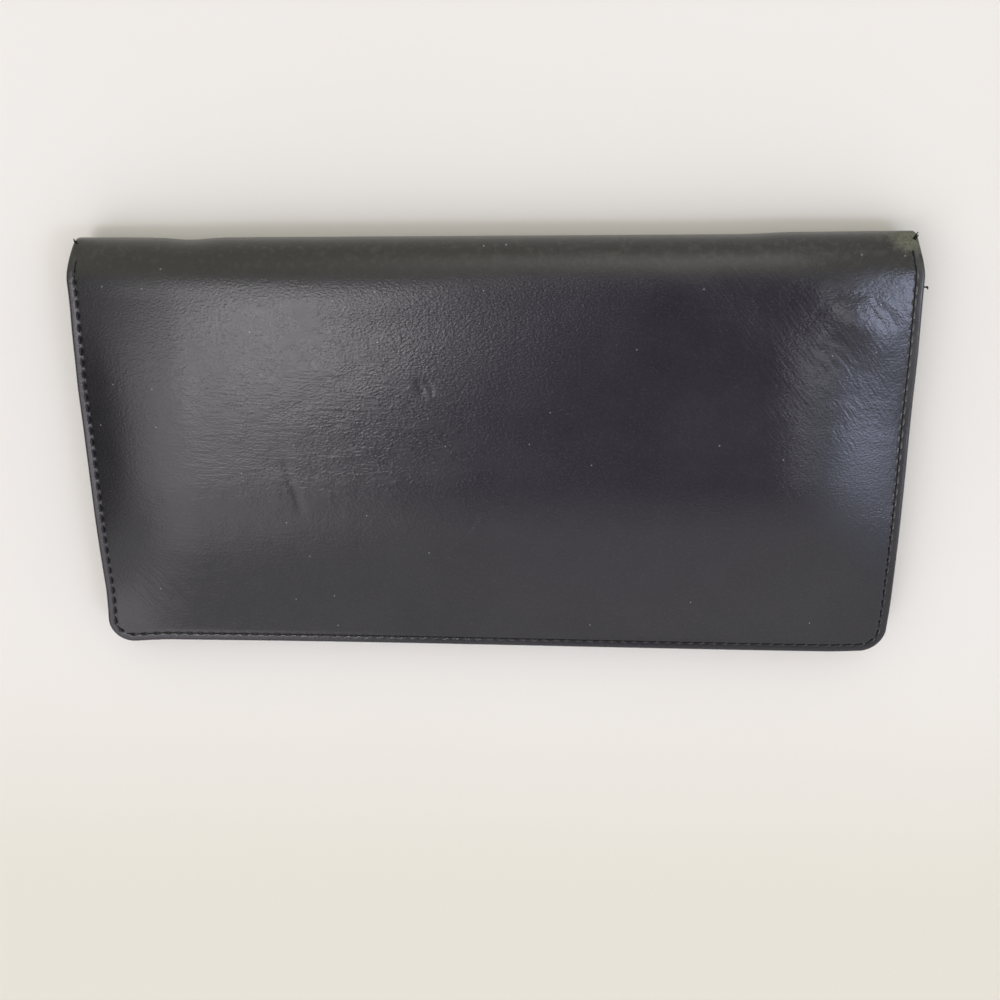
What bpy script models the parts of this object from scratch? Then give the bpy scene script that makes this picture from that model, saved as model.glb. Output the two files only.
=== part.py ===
"""A long bifold wallet in black leather, closed and lying on its back.

Metres, +Z up. X runs along the fold, Y from the stitched outer edge (-Y) to the fold (+Y), and Z through
the thickness. The origin is under the middle of the wallet, on the surface that it lies on.

The wallet is two stacks of thin sheets, sewn together round three sides, and the leather fold that joins
them. Each stack is built from the outer cover inwards, and each sheet takes its level from the one before.
The fold is cut at two hinge lines on the outer face of the leather, so that it can open flat. Each cover
keeps the first part of the curve, and the opened wallet rests on the middle of the strip between the hinges.
"""

import math

import bmesh
import bpy

# Plan of the closed wallet
LENGTH = 0.190
DEPTH = 0.100
CORNER_RADIUS = 0.006
EDGE_STEP = 0.0004  # each inner layer ends this far inside the one outside it

# Thickness of each material
COVER = 0.0010
BOARD = 0.0005
LINING = 0.0003
PANEL = 0.0007
POCKET = 0.0006
SLOT_BACKING = 0.0003

# Clearances between layers
GAP = 0.0003
BACK_ROOM = 0.0006  # in the back bill compartment, which lies nearly flat
BILL_ROOM = 0.0045  # in the front bill compartment, under the crowned cover
HALVES_APART = 0.0005

# Shape of the covers
RIM = 0.003  # flat margin that the seam holds
RIM_LIFT = 0.0008  # the back cover's margin curls up off the table
LIFT_WIDTH = 0.009
CROWN_SIDE = 0.029  # run over which the front cover rises from its side margins
CROWN_EDGE = 0.031  # and from its outer margin
EDGE_ROUND = 0.0003
DRAW_IN = 0.0017  # the ends of the fold are pulled in by the side seams
DRAW_WIDTH = 0.012

# Seams
STITCH_INSET = 0.002
THREAD = 0.0005
GROOVE_DEPTH = 0.00045
GROOVE_SLOPE = 0.00015

# Boards stop short of the seams and of the fold
BACK_BOARD_INSET = 0.0105
FRONT_BOARD_INSET = 0.017
BOARD_TO_FOLD = 0.004
LINING_STEP = 0.005  # run over which the front lining steps onto its board
FOLD_STEP = 0.0026  # and over which a lining steps off its board at the fold

# Inner panels and slip pockets: where the panels stop short of the fold, and the heights of the pockets'
# mouths above the outer edge
PANEL_TO_FOLD = 0.00585
TALL_POCKET_MOUTH = 0.068
SHORT_POCKET_MOUTH = 0.042

# Card slots: T-shaped, a leather strip at the mouth and a thin backing below it
SLOT_ROWS = 4
FIRST_SLOT_MOUTH = 0.080
SLOT_STEP = 0.012
SLOT_DEPTH = 0.043
STRIP_GAP = 0.0006  # between one strip and the mouth of the next slot
SEWN_RUN = 0.010  # inset at which the inner panel has risen off the seam
BACKING_INSET = 0.0045  # the backing stays clear of the side seam
BACKING_FROM_DIVIDER = 0.0035
SLOT_RAMP = 0.0025
DROOP_BELOW_SLOT = 0.002  # the front half starts to sink this far below the foot of the first slot

# The fold: one curved strip between the two covers, with a hinge at each side of it
STRIP_STEPS = 8
TAIL_STEPS = 4

HALF_LENGTH = LENGTH / 2
OUTER_EDGE = -DEPTH / 2
GROOVE_HALF = THREAD / 2 + GAP

# Levels up the stack, at the middle of the wallet
BACK_BOARD_Z = COVER + GAP
BACK_LINING_Z = BACK_BOARD_Z + BOARD + GAP
BACK_PANEL_Z = BACK_LINING_Z + LINING + BACK_ROOM
SLOT_Z = BACK_PANEL_Z + PANEL + GAP
SLOT_RISE = SLOT_BACKING + GAP
SLOT_HUMP = (SLOT_ROWS - 1) * SLOT_RISE
SHORT_POCKET_Z = SLOT_Z + SLOT_HUMP + POCKET + HALVES_APART
TALL_POCKET_Z = SHORT_POCKET_Z + POCKET + GAP
FRONT_PANEL_Z = TALL_POCKET_Z + POCKET + GAP
FRONT_LINING_Z = FRONT_PANEL_Z + PANEL + BILL_ROOM
FRONT_BOARD_Z = FRONT_LINING_Z + LINING + GAP
FRONT_COVER_Z = FRONT_BOARD_Z + BOARD + GAP
THICKNESS = FRONT_COVER_Z + COVER
CROWN = BILL_ROOM + BOARD  # how far the front cover's margin lies below its middle

FOLD_RADIUS = THICKNESS / 2
FOLD_START = DEPTH / 2 - FOLD_RADIUS
BACK_HINGE_ANGLE = -math.pi / 4  # each hinge turns a quarter turn between closed and open
FRONT_HINGE_ANGLE = math.pi / 4
HALF_GAP_ANGLE = GAP / 2 / FOLD_RADIUS
PANEL_MOUTH = FOLD_START - PANEL_TO_FOLD
DROOP_START = OUTER_EDGE + FIRST_SLOT_MOUTH - SLOT_DEPTH - DROOP_BELOW_SLOT
MIDDLE_LINE = DEPTH * 0.6  # a height above the outer edge at which the wide sheets get one more plan line


def smooth(value, start, end):
    """0 before start and 1 after end, easing in and out between them."""
    share = min(1.0, max(0.0, (value - start) / (end - start)))
    return share * share * (3 - 2 * share)


def add_object(name, mesh, finish, parent):
    """Links a finished mesh or curve into the scene under its empty, with a material of its own."""
    kind, colour, roughness = finish
    material = bpy.data.materials.new(f"{name} {kind}")
    material.use_nodes = True
    shader = material.node_tree.nodes["Principled BSDF"]
    shader.inputs["Base Color"].default_value = (*colour, 1.0)
    shader.inputs["Roughness"].default_value = roughness
    shader.inputs["Metallic"].default_value = 0.0
    mesh.materials.append(material)
    made = bpy.data.objects.new(name, mesh)
    bpy.context.scene.collection.objects.link(made)
    made.parent = parent
    return made


def add_empty(name, y=0.0, z=0.0, parent=None):
    """An empty that carries one moving half or strip, at its hinge in the world."""
    made = bpy.data.objects.new(name, None)
    bpy.context.scene.collection.objects.link(made)
    made.parent = parent
    made.location = (0.0, y, z)
    if parent:
        made.location = made.location - world_place(parent)
    return made


def world_place(empty):
    """Where an unturned empty lies in the world."""
    place = empty.location.copy()
    while empty.parent:
        empty = empty.parent
        place += empty.location
    return place


def rounded(x, y):
    """Carries a point of a square-cornered plan to the plan with round outer corners."""
    across = abs(x) - (HALF_LENGTH - CORNER_RADIUS)
    along = OUTER_EDGE + CORNER_RADIUS - y
    if across <= 0 or along <= 0:
        return x, y
    ring = max(across, along)
    if across >= along:
        angle = math.pi / 4 * along / across
    else:
        angle = math.pi / 2 - math.pi / 4 * across / along
    new_x = HALF_LENGTH - CORNER_RADIUS + ring * math.cos(angle)
    new_y = OUTER_EDGE + CORNER_RADIUS - ring * math.sin(angle)
    return math.copysign(new_x, x), new_y


def from_edge(x, y):
    """How far a point of the plan is inside the three sewn sides."""
    across = abs(x) - (HALF_LENGTH - CORNER_RADIUS)
    along = OUTER_EDGE + CORNER_RADIUS - y
    if across > 0 and along > 0:
        return CORNER_RADIUS - math.hypot(across, along)
    return min(HALF_LENGTH - abs(x), y - OUTER_EDGE)


def sheet_mesh(name, grid, cells, offset):
    """One closed sheet. grid[i][j] is an (under, over) pair of points, and cells the (i, j) that it fills."""
    work = bmesh.new()
    made = {}

    def vertex(i, j, side):
        if (i, j, side) not in made:
            point = grid[i][j][side]
            made[i, j, side] = work.verts.new([point[k] - offset[k] for k in range(3)])
        return made[i, j, side]

    for i, j in sorted(cells):
        ring = [(i, j), (i + 1, j), (i + 1, j + 1), (i, j + 1)]
        neighbours = [(i, j - 1), (i + 1, j), (i, j + 1), (i - 1, j)]
        work.faces.new([vertex(*corner, 1) for corner in ring])
        work.faces.new([vertex(*corner, 0) for corner in reversed(ring)])
        for k, neighbour in enumerate(neighbours):
            if neighbour in cells:
                continue
            a, b = ring[k], ring[(k + 1) % 4]
            work.faces.new([vertex(*a, 0), vertex(*b, 0), vertex(*b, 1), vertex(*a, 1)])
    bmesh.ops.recalc_face_normals(work, faces=work.faces)
    mesh = bpy.data.meshes.new(name)
    work.to_mesh(mesh)
    work.free()
    mesh.shade_smooth()
    mesh.set_sharp_from_angle(angle=math.radians(40))
    return mesh


def add_sheet(name, xs, ys, under, over, finish, parent, keep=None, tail=None):
    """A sheet over the plan lines xs and ys, between the heights under(x, y) and over(x, y).

    keep(x, y) says which parts of the plan are filled. tail(x) gives the (under, over) pairs of points with
    which the sheet goes on past its last plan line, round the start of the fold.
    """
    grid = []
    for x in xs:
        column = []
        for y in ys:
            px, py = rounded(x, y)
            column.append(((px, py, under(px, py)), (px, py, over(px, py))))
        grid.append(column + (tail(x) if tail else []))
    cells = set()
    for i in range(len(xs) - 1):
        for j in range(len(grid[0]) - 1):
            if keep is None or keep((xs[i] + xs[i + 1]) / 2, (ys[j] + ys[j + 1]) / 2):
                cells.add((i, j))
    mesh = sheet_mesh(name, grid, cells, world_place(parent))
    return add_object(name, mesh, finish, parent)


def both_ways(insets, middles):
    """Plan lines across the length: each inset from both ends, and middles on both sides of the centre."""
    near = [HALF_LENGTH - inset for inset in insets] + [m for m in middles if m > 0]
    lines = sorted(set(near + [-x for x in near]))
    if 0 in middles:
        lines = sorted(lines + [0.0])
    return lines


def along_depth(insets, heights, last):
    """Plan lines from the outer edge: insets, then heights above that edge, and the last line itself."""
    lines = [OUTER_EDGE + inset for inset in insets + heights]
    return [y for y in lines if y < last - GAP] + [last]


def rim_lift(x, y):
    """How far the back cover curls up off the table at its margins."""
    inside = from_edge(x, y)
    return RIM_LIFT * (1 - smooth(inside, RIM, RIM + LIFT_WIDTH))


def crown_share(x, y):
    """0 on the front cover's sewn margins and 1 on the flat of its middle."""
    side = smooth(HALF_LENGTH - abs(x), RIM, RIM + CROWN_SIDE)
    edge = smooth(y - OUTER_EDGE, RIM, RIM + CROWN_EDGE)
    return side * edge


def droop(y):
    """How far the front half sinks towards the outer edge, where fewer card slots lie under it."""
    return SLOT_HUMP * smooth(DROOP_START - y, 0.0, DROOP_START - OUTER_EDGE)


def front_top(x, y):
    """The outer face of the front cover, without its groove and rounded edge."""
    return THICKNESS - CROWN * (1 - crown_share(x, y)) - droop(y)


def groove(x, y):
    """Depth of the stitching groove at a point of the plan."""
    off = abs(from_edge(x, y) - STITCH_INSET)
    return GROOVE_DEPTH * (1 - min(1.0, max(0.0, (off - GROOVE_HALF) / GROOVE_SLOPE)))


def edge_round(x, y):
    """How far the rounded edge of a cover falls back at a point of the plan."""
    return EDGE_ROUND * (1 - min(1.0, max(0.0, from_edge(x, y) / EDGE_ROUND)))


def over_board(y):
    """1 where the lining lies over a board and 0 where it has stepped off it at the fold."""
    end = FOLD_START - BOARD_TO_FOLD
    return 1 - smooth(y, end + GAP, end + GAP + FOLD_STEP)


def seam_lines():
    """Insets of the plan lines that shape a cover's rounded edge and stitching groove."""
    near = STITCH_INSET - GROOVE_HALF
    far = STITCH_INSET + GROOVE_HALF
    between = (far + GROOVE_SLOPE + CORNER_RADIUS) / 2
    return [0.0, EDGE_ROUND, near - GROOVE_SLOPE, near, far, far + GROOVE_SLOPE, between, CORNER_RADIUS]


def crown_lines(run):
    """Insets of the plan lines over which the front cover rises from a margin, and its board begins."""
    board = FRONT_BOARD_INSET
    return [CORNER_RADIUS, board - LINING_STEP, board - LINING_STEP / 2, board] + shares(board, RIM + run, 3)


def shares(start, end, steps):
    """Evenly spaced values after start, up to and with end."""
    return [start + (end - start) * (k + 1) / steps for k in range(steps)]


def fold_point(x, angle, inwards):
    """A point of the fold at x and an angle round it, so far inside the leather's outer face."""
    low = rim_lift(x, FOLD_START)
    high = front_top(x, FOLD_START)
    half_height = (high - low) / 2
    pulled = DRAW_IN * (1 - smooth(HALF_LENGTH - abs(x), 0.0, DRAW_WIDTH))
    reach = FOLD_RADIUS - pulled
    normal_y = math.cos(angle) / reach
    normal_z = math.sin(angle) / half_height
    size = math.hypot(normal_y, normal_z)
    y = FOLD_START + reach * math.cos(angle) - inwards * normal_y / size
    z = (high + low) / 2 + half_height * math.sin(angle) - inwards * normal_z / size
    return x, y, z


def back_tail(outside, thick):
    """How a layer of the back half goes on round the fold, up to the back hinge."""
    angles = shares(-math.pi / 2, BACK_HINGE_ANGLE - HALF_GAP_ANGLE, TAIL_STEPS)
    return lambda x: [
        (fold_point(x, angle, outside), fold_point(x, angle, outside + thick)) for angle in angles
    ]


def front_tail(outside, thick):
    """How a layer of the front half goes on round the fold, down to the front hinge."""
    angles = shares(math.pi / 2, FRONT_HINGE_ANGLE + HALF_GAP_ANGLE, TAIL_STEPS)
    return lambda x: [
        (fold_point(x, angle, outside + thick), fold_point(x, angle, outside)) for angle in angles
    ]


def add_back_cover(finish, parent):
    """The back half of the outer leather, flat on the table, with its margins curled up."""
    rise = shares(CORNER_RADIUS, RIM + LIFT_WIDTH, 2)
    xs = both_ways(seam_lines() + rise, [HALF_LENGTH / 2, 0])
    ys = along_depth(seam_lines() + rise, shares(RIM + LIFT_WIDTH, DEPTH, 4), FOLD_START)

    def under(x, y):
        return rim_lift(x, y) + groove(x, y) + edge_round(x, y)

    def over(x, y):
        return rim_lift(x, y) + COVER - edge_round(x, y)

    tail = back_tail(0.0, COVER)
    add_sheet("back_cover", xs, ys, under, over, finish, parent, tail=tail)


def add_front_cover(finish, parent):
    """The front half of the outer leather, crowned over the bill compartment."""
    xs = both_ways(seam_lines() + crown_lines(CROWN_SIDE), [HALF_LENGTH / 3, 0])
    ys = along_depth(seam_lines() + crown_lines(CROWN_EDGE), shares(RIM + CROWN_EDGE, DEPTH, 4), FOLD_START)

    def under(x, y):
        return front_top(x, y) - COVER + edge_round(x, y)

    def over(x, y):
        return front_top(x, y) - groove(x, y) - edge_round(x, y)

    tail = front_tail(0.0, COVER)
    add_sheet("front_cover", xs, ys, under, over, finish, parent, tail=tail)


def add_boards(finish, back, front):
    """The stiffening boards, glued inside each cover and stopping short of the seams and the fold."""
    end = FOLD_START - BOARD_TO_FOLD
    flat_xs = [-HALF_LENGTH + BACK_BOARD_INSET, 0.0, HALF_LENGTH - BACK_BOARD_INSET]
    flat_ys = [OUTER_EDGE + BACK_BOARD_INSET, end]
    xs = both_ways([inset for inset in crown_lines(CROWN_SIDE) if inset >= FRONT_BOARD_INSET], [0])
    rise = [inset for inset in crown_lines(CROWN_EDGE) if inset >= FRONT_BOARD_INSET]
    ys = along_depth(rise, [MIDDLE_LINE], end)

    def back_under(x, y):
        return BACK_BOARD_Z

    def back_over(x, y):
        return BACK_BOARD_Z + BOARD

    def front_over(x, y):
        return front_top(x, y) - COVER - GAP

    def front_under(x, y):
        return front_over(x, y) - BOARD

    add_sheet("back_board", flat_xs, flat_ys, back_under, back_over, finish, back)
    add_sheet("front_board", xs, ys, front_under, front_over, finish, front)


def add_linings(finish, back, front):
    """The cloth linings of the two bill compartments, which run into the fold."""
    board_end = FOLD_START - BOARD_TO_FOLD - OUTER_EDGE
    steps = [board_end + GAP, board_end + GAP + FOLD_STEP / 2, board_end + GAP + FOLD_STEP]
    near = [EDGE_STEP, RIM]
    back_rise = near + [CORNER_RADIUS, BACK_BOARD_INSET, RIM + LIFT_WIDTH]
    back_xs = both_ways(back_rise, [0])
    back_ys = along_depth(back_rise, steps, FOLD_START)
    front_xs = both_ways(near + crown_lines(CROWN_SIDE), [0])
    front_ys = along_depth(near + crown_lines(CROWN_EDGE), [MIDDLE_LINE] + steps, FOLD_START)
    outside = COVER + GAP
    step_height = BOARD + GAP

    def back_under(x, y):
        return COVER + GAP + max(rim_lift(x, y), step_height * over_board(y))

    def back_over(x, y):
        return back_under(x, y) + LINING

    def front_over(x, y):
        onto_board = smooth(from_edge(x, y), FRONT_BOARD_INSET - LINING_STEP, FRONT_BOARD_INSET)
        return front_top(x, y) - COVER - GAP - step_height * over_board(y) * onto_board

    def front_under(x, y):
        return front_over(x, y) - LINING

    tail = back_tail(outside, LINING)
    add_sheet("back_lining", back_xs, back_ys, back_under, back_over, finish, back, tail=tail)
    tail = front_tail(outside, LINING)
    add_sheet("front_lining", front_xs, front_ys, front_under, front_over, finish, front, tail=tail)


def add_back_panel(finish, parent):
    """The inner wall of the back bill compartment, which carries the card slots."""
    near = [2 * EDGE_STEP, RIM, CORNER_RADIUS, SEWN_RUN]
    xs = both_ways(near, [0])
    ys = along_depth(near, [DEPTH / 2], PANEL_MOUTH)

    def under(x, y):
        return BACK_PANEL_Z - sewn_down(x, y)

    add_sheet("back_bill_panel", xs, ys, under, lambda x, y: under(x, y) + PANEL, finish, parent)


def sewn_down(x, y):
    """How far the back panel and its slots sink where the seam draws the layers together."""
    return (BACK_ROOM - GAP) * (1 - smooth(from_edge(x, y), RIM, SEWN_RUN))


def slot_mouth(row):
    return OUTER_EDGE + FIRST_SLOT_MOUTH - row * SLOT_STEP


def slot_bottom(row):
    return max(slot_mouth(row) - SLOT_DEPTH, OUTER_EDGE + 2 * EDGE_STEP + GAP)


def add_card_slot(name, row, side, finish, parent):
    """One T-shaped card slot: its mouth strip runs from seam to divider, and its backing is narrower.

    The last slot lies on top of the others, and is leather down to the outer edge.
    """
    inner = THREAD / 2 + GAP
    backing_inner = BACKING_FROM_DIVIDER
    backing_outer = HALF_LENGTH - BACKING_INSET
    insets = [SEWN_RUN, CORNER_RADIUS, BACKING_INSET, RIM, 2 * EDGE_STEP]
    lines = [inner, 2 * inner, backing_inner] + [HALF_LENGTH - inset for inset in insets]
    xs = sorted(side * x for x in lines)
    mouth = slot_mouth(row)
    bottom = slot_bottom(row)
    last = row == SLOT_ROWS - 1
    strip = bottom if last else mouth - SLOT_STEP + STRIP_GAP
    climbs = [slot_bottom(below) for below in range(row)]
    ys = [bottom, strip, mouth] + [OUTER_EDGE + inset for inset in insets]
    for climb in climbs:
        ys += [climb - SLOT_RAMP, climb - GAP]
    ys = sorted(y for y in set(ys) if bottom <= y <= mouth)

    def off_seams(x):
        from_divider = smooth(abs(x), 2 * inner, backing_inner)
        from_side = 1 - smooth(abs(x), backing_outer, HALF_LENGTH - RIM)
        return min(from_divider, from_side)

    def under(x, y):
        layers = sum(smooth(y, climb - SLOT_RAMP, climb - GAP) for climb in climbs)
        return SLOT_Z - sewn_down(x, y) + SLOT_RISE * layers * off_seams(x)

    def over(x, y):
        return under(x, y) + (POCKET if y > strip - GAP / 2 else SLOT_BACKING)

    def keep(x, y):
        return y > strip or backing_inner < abs(x) < backing_outer

    add_sheet(name, xs, ys, under, over, finish, parent, keep)


def add_front_panels(finish, pocket_finish, parent):
    """The inner wall of the front bill compartment, and the two slip pockets on its inner face."""
    near = [2 * EDGE_STEP, RIM, CORNER_RADIUS]
    xs = both_ways(near, [0])
    falls = shares(CORNER_RADIUS, DROOP_START - OUTER_EDGE, 5)
    for name, base, thick, mouth, sheet_finish in (
        ("front_bill_panel", FRONT_PANEL_Z, PANEL, PANEL_MOUTH, finish),
        ("slip_pocket_tall", TALL_POCKET_Z, POCKET, OUTER_EDGE + TALL_POCKET_MOUTH, pocket_finish),
        ("slip_pocket_short", SHORT_POCKET_Z, POCKET, OUTER_EDGE + SHORT_POCKET_MOUTH, pocket_finish),
    ):
        ys = along_depth(near, falls, mouth)

        def under(x, y, level=base):
            return level - droop(y)

        def over(x, y, level=base + thick):
            return level - droop(y)

        add_sheet(name, xs, ys, under, over, sheet_finish, parent)


def add_fold_sheet(name, outside, thick, ends, finish, parent):
    """The curved strip between the hinges, either of the outer leather or of its lining."""
    start = BACK_HINGE_ANGLE + HALF_GAP_ANGLE
    end = FRONT_HINGE_ANGLE - HALF_GAP_ANGLE
    insets = [ends] + shares(ends, RIM, 1) + shares(RIM, RIM + CROWN_SIDE, 5)
    grid = []
    xs = both_ways(insets, [0])
    for x in xs:
        column = []
        for k in range(STRIP_STEPS + 1):
            angle = start + (end - start) * k / STRIP_STEPS
            column.append((fold_point(x, angle, outside), fold_point(x, angle, outside + thick)))
        grid.append(column)
    cells = {(i, k) for i in range(len(xs) - 1) for k in range(STRIP_STEPS)}
    mesh = sheet_mesh(name, grid, cells, world_place(parent))
    add_object(name, mesh, finish, parent)


def seam_path(height):
    """Points along the stitching line, from the fold down one side, round the corners and up the other."""
    top = FOLD_START - STITCH_INSET / 2
    radius = CORNER_RADIUS - STITCH_INSET
    centre_x = HALF_LENGTH - CORNER_RADIUS
    centre_y = OUTER_EDGE + CORNER_RADIUS
    side = [(centre_x + radius, y) for y in [top] + shares(top, DROOP_START, 1)]
    side += [(centre_x + radius, y) for y in shares(DROOP_START, centre_y, 5)]
    corner_steps = 5
    corner = []
    for k in range(1, corner_steps + 1):
        angle = math.pi / 2 * k / corner_steps
        corner.append((centre_x + radius * math.cos(angle), centre_y - radius * math.sin(angle)))
    half = side + corner
    path = half + [(-x, y) for x, y in reversed(half)]
    return [(x, y, height(y)) for x, y in path]


def add_thread(name, path, finish, parent):
    """One sewing thread, as an unbroken cord along its stitching line."""
    offset = world_place(parent)
    curve = bpy.data.curves.new(name, "CURVE")
    curve.dimensions = "3D"
    curve.bevel_depth = THREAD / 2
    curve.bevel_resolution = 1
    curve.use_fill_caps = True
    spline = curve.splines.new("POLY")
    spline.points.add(len(path) - 1)
    for point, place in zip(spline.points, path):
        point.co = (*[place[k] - offset[k] for k in range(3)], 1.0)
    return add_object(name, curve, finish, parent)


def add_threads(finish, back, front):
    """The seam round each half, in its groove, and the stitching that divides the two columns of slots."""
    proud = GROOVE_DEPTH - GAP - THREAD / 2
    front_rim = THICKNESS - CROWN
    add_thread("back_seam_thread", seam_path(lambda y: RIM_LIFT + proud), finish, back)
    add_thread("front_seam_thread", seam_path(lambda y: front_rim - droop(y) - proud), finish, front)
    divider_z = SLOT_Z + THREAD / 2
    ends = [slot_bottom(SLOT_ROWS - 1), slot_mouth(0)]
    add_thread("divider_thread", [(0.0, y, divider_z) for y in ends], finish, back)


def clear_scene():
    for old in list(bpy.data.objects):
        bpy.data.objects.remove(old, do_unlink=True)


def add_hinge_empty(name, angle, parent):
    """The empty of a body that turns about the hinge line at an angle round the fold."""
    hinge_y = FOLD_START + FOLD_RADIUS * math.cos(angle)
    hinge_z = FOLD_RADIUS + FOLD_RADIUS * math.sin(angle)
    return add_empty(name, hinge_y, hinge_z, parent)


def build():
    """Makes every sheet, strip and thread, each under the empty of the half or strip that carries it."""
    clear_scene()
    cover = ("leather", (0.030, 0.030, 0.034), 0.42)
    inner = ("leather", (0.026, 0.026, 0.029), 0.50)
    pocket = ("leather", (0.028, 0.028, 0.031), 0.48)
    cloth = ("cloth", (0.020, 0.020, 0.023), 0.85)
    board = ("board", (0.30, 0.27, 0.22), 0.90)
    thread = ("thread", (0.012, 0.012, 0.013), 0.60)

    back = add_empty("back_half")
    fold = add_hinge_empty("fold_strip", BACK_HINGE_ANGLE, back)
    front = add_hinge_empty("front_half", FRONT_HINGE_ANGLE, fold)

    add_back_cover(cover, back)
    add_front_cover(cover, front)
    add_boards(board, back, front)
    add_linings(cloth, back, front)
    add_back_panel(inner, back)
    add_front_panels(inner, pocket, front)
    for side, word in ((-1, "left"), (1, "right")):
        for row in range(SLOT_ROWS):
            add_card_slot(f"card_slot_{word}_{row + 1}", row, side, pocket, back)
    add_fold_sheet("fold_leather", 0.0, COVER, 0.0, cover, fold)
    add_fold_sheet("fold_lining", COVER + GAP, LINING, EDGE_STEP, cloth, fold)
    add_threads(thread, back, front)


build()
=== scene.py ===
"""A long bifold wallet in worn black leather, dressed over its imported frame.

Metres, +Z up. X runs along the fold, Y from the stitched outer edge (-Y) to the fold (+Y), and Z through the
thickness. The wallet lies on its back, closed, with its front cover up.
"""

import functools
import math

import bpy
import numpy as np
from mathutils import Matrix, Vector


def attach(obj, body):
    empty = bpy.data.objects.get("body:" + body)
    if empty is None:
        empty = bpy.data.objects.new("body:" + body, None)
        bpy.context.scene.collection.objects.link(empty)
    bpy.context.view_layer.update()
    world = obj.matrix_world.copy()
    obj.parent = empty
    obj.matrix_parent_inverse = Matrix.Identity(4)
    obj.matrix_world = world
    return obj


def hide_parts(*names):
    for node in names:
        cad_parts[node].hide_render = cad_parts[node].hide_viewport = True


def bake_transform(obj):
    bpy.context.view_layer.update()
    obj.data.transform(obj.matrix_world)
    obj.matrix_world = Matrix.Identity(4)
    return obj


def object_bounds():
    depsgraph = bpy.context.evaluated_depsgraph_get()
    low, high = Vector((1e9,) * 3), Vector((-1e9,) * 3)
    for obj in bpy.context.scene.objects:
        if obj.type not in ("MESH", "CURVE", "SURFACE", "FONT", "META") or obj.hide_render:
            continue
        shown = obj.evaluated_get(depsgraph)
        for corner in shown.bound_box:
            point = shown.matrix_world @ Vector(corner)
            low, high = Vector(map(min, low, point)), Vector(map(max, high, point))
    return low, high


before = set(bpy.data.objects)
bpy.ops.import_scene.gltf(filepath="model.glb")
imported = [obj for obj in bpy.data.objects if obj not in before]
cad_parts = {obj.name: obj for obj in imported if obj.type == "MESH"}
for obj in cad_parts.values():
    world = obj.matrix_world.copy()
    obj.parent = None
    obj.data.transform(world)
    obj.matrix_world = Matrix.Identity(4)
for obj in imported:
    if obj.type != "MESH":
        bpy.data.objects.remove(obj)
frame_low, frame_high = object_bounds()


# Camera, floor and light
#
# The photograph looks down on the front cover from the fold's side, a little from the right. The floor is
# pale. A plain room with soft lighter and darker areas in it gives the leather its sheen.


def new_object(name, data):
    """An object of the scene."""
    made = bpy.data.objects.new(name, data)
    bpy.context.scene.collection.objects.link(made)
    return made


def new_piece(name, points, edges, faces):
    """A mesh object from its points."""
    mesh = bpy.data.meshes.new(name)
    mesh.from_pydata(points, edges, faces)
    return new_object(name, mesh)


camera = new_object("camera", bpy.data.cameras.new("camera"))
camera.data.sensor_width = 36.0
camera.data.lens = 47.3
camera.location = (0.0214, 0.0949, 0.2996)
camera.rotation_mode = "QUATERNION"
camera_turn = (
    Matrix.Rotation(math.radians(-20.25), 3, "X")
    @ Matrix.Rotation(math.radians(3.55), 3, "Y")
    @ Matrix.Rotation(math.radians(0.36), 3, "Z")
)
camera.rotation_quaternion = camera_turn.to_quaternion()
bpy.context.scene.camera = camera
bpy.context.scene.view_settings.view_transform = "Standard"


def new_material(name):
    """An empty node material, its node tree and its finished shader."""
    material = bpy.data.materials.new(name)
    material.use_nodes = True
    tree = material.node_tree
    return material, tree, tree.nodes["Principled BSDF"]


def feed(node, inputs):
    """Gives a node's sockets, by name or number, their values or the links into them."""
    for key, value in inputs.items():
        if isinstance(value, bpy.types.NodeSocket):
            node.id_data.links.new(value, node.inputs[key])
        else:
            node.inputs[key].default_value = value


def add_node(tree, kind, inputs=None, **settings):
    """Adds a node. inputs are its sockets' values or links, and settings its own options."""
    node = tree.nodes.new(kind)
    for key, value in settings.items():
        setattr(node, key, value)
    feed(node, inputs or {})
    return node


def calc(operation, a, b=0.0):
    """One step of arithmetic on links or numbers, in the tree of the first link."""
    tree = (a if isinstance(a, bpy.types.NodeSocket) else b).id_data
    return add_node(tree, "ShaderNodeMath", {0: a, 1: b}, operation=operation).outputs[0]


def times(*factors):
    """The product of links and numbers."""
    return functools.reduce(lambda a, b: calc("MULTIPLY", a, b), factors)


def plus(*parts):
    """The sum of links and numbers."""
    return functools.reduce(lambda a, b: calc("ADD", a, b), parts)


def ramp(value, low, high, to_low=0.0, to_high=1.0):
    """Carries a value from low..high to to_low..to_high, easing at both ends."""
    inputs = {0: value, 1: low, 2: high, 3: to_low, 4: to_high}
    node = add_node(value.id_data, "ShaderNodeMapRange", inputs, interpolation_type="SMOOTHSTEP")
    return node.outputs[0]


def mix(share, a, b):
    """Blends two colours, each a link or (r, g, b)."""
    a, b = (c if isinstance(c, bpy.types.NodeSocket) else (*c, 1.0) for c in (a, b))
    return add_node(share.id_data, "ShaderNodeMix", {0: share, 6: a, 7: b}, data_type="RGBA").outputs[2]


def parts_of(vector):
    """The X, Y and Z of a link."""
    return add_node(vector.id_data, "ShaderNodeSeparateXYZ", {0: vector}).outputs


def how_far(place, centre, size=(1.0, 1.0, 1.0)):
    """How far a place lies from a point, measured along each axis in that size."""
    for operation, by in (("SUBTRACT", centre), ("DIVIDE", size), ("LENGTH", (0.0, 0.0, 0.0))):
        node = add_node(place.id_data, "ShaderNodeVectorMath", {0: place, 1: by}, operation=operation)
        place = node.outputs[0]
    return node.outputs["Value"]


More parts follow.
